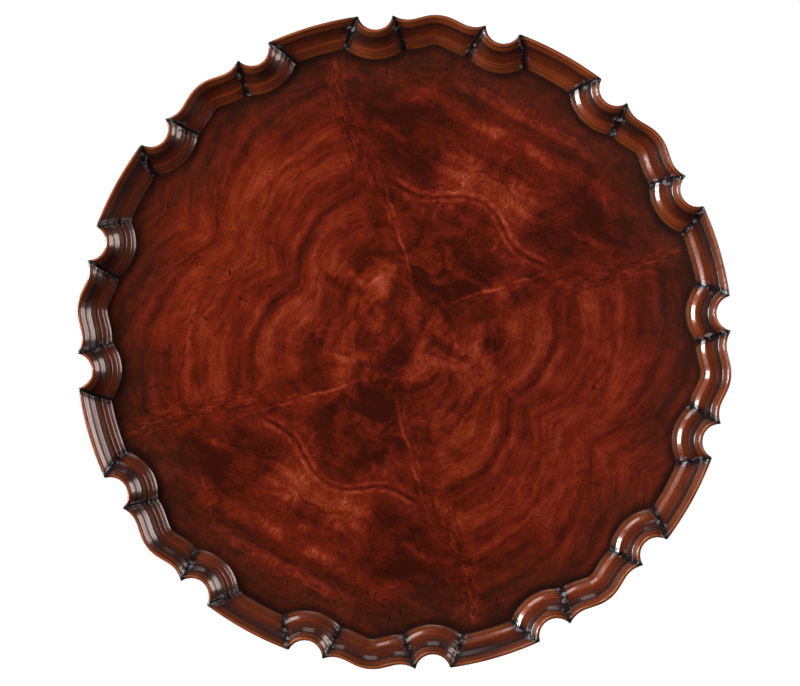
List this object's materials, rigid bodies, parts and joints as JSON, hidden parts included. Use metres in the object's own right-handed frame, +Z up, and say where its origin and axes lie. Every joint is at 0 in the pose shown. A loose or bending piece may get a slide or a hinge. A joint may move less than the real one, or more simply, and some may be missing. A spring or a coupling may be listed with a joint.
{
  "type": "tiered side table",
  "caption": "Tiered pedestal side table: dished trays with carved piecrust rims on a turned column with cabriole tripod legs",
  "frame": {"origin": "on the ground at the column's axis, level with the undersides of the feet", "axes": "+Z up along the column; +X through the middle of a bracket in each tray's rim; one leg points along -Y"},
  "size_m": [0.711, 0.711, 0.724],
  "materials": {
    "crotch_veneer": "polished crotch-mahogany veneer",
    "carved_rim": "polished carved mahogany, dark in the hollows",
    "board": "mahogany board, satin",
    "turned_wood": "polished turned mahogany",
    "leg_wood": "polished mahogany",
    "steel": "zinc-plated",
    "iron": "blackened"
  },
  "bodies": {
    "root": {"leg_1": "leg_wood", "leg_2": "leg_wood", "leg_3": "leg_wood", "leg_spider": "iron", "lower_column": "turned_wood", "lower_plate": "turned_wood", "lower_tray_board": "board", "lower_tray_rim_1": "carved_rim", "lower_tray_rim_2": "carved_rim", "lower_tray_rim_3": "carved_rim", "lower_tray_veneer_leaf_1": "crotch_veneer", "lower_tray_veneer_leaf_2": "crotch_veneer", "lower_tray_veneer_leaf_3": "crotch_veneer", "lower_tray_veneer_leaf_4": "crotch_veneer", "lower_tray_veneer_leaf_5": "crotch_veneer", "lower_tray_veneer_leaf_6": "crotch_veneer", "tie_rod": "steel", "tie_rod_lower_nut": "steel", "tie_rod_lower_washer": "steel", "tie_rod_upper_nut": "steel", "tie_rod_upper_washer": "steel", "top_plate": "turned_wood", "top_tray_board": "board", "top_tray_rim_1": "carved_rim", "top_tray_rim_2": "carved_rim", "top_tray_rim_3": "carved_rim", "top_tray_rim_4": "carved_rim", "top_tray_veneer_leaf_1": "crotch_veneer", "top_tray_veneer_leaf_2": "crotch_veneer", "top_tray_veneer_leaf_3": "crotch_veneer", "top_tray_veneer_leaf_4": "crotch_veneer", "top_tray_veneer_leaf_5": "crotch_veneer", "top_tray_veneer_leaf_6": "crotch_veneer", "top_tray_veneer_leaf_7": "crotch_veneer", "top_tray_veneer_leaf_8": "crotch_veneer", "upper_column": "turned_wood"}
  },
  "joints": []
}
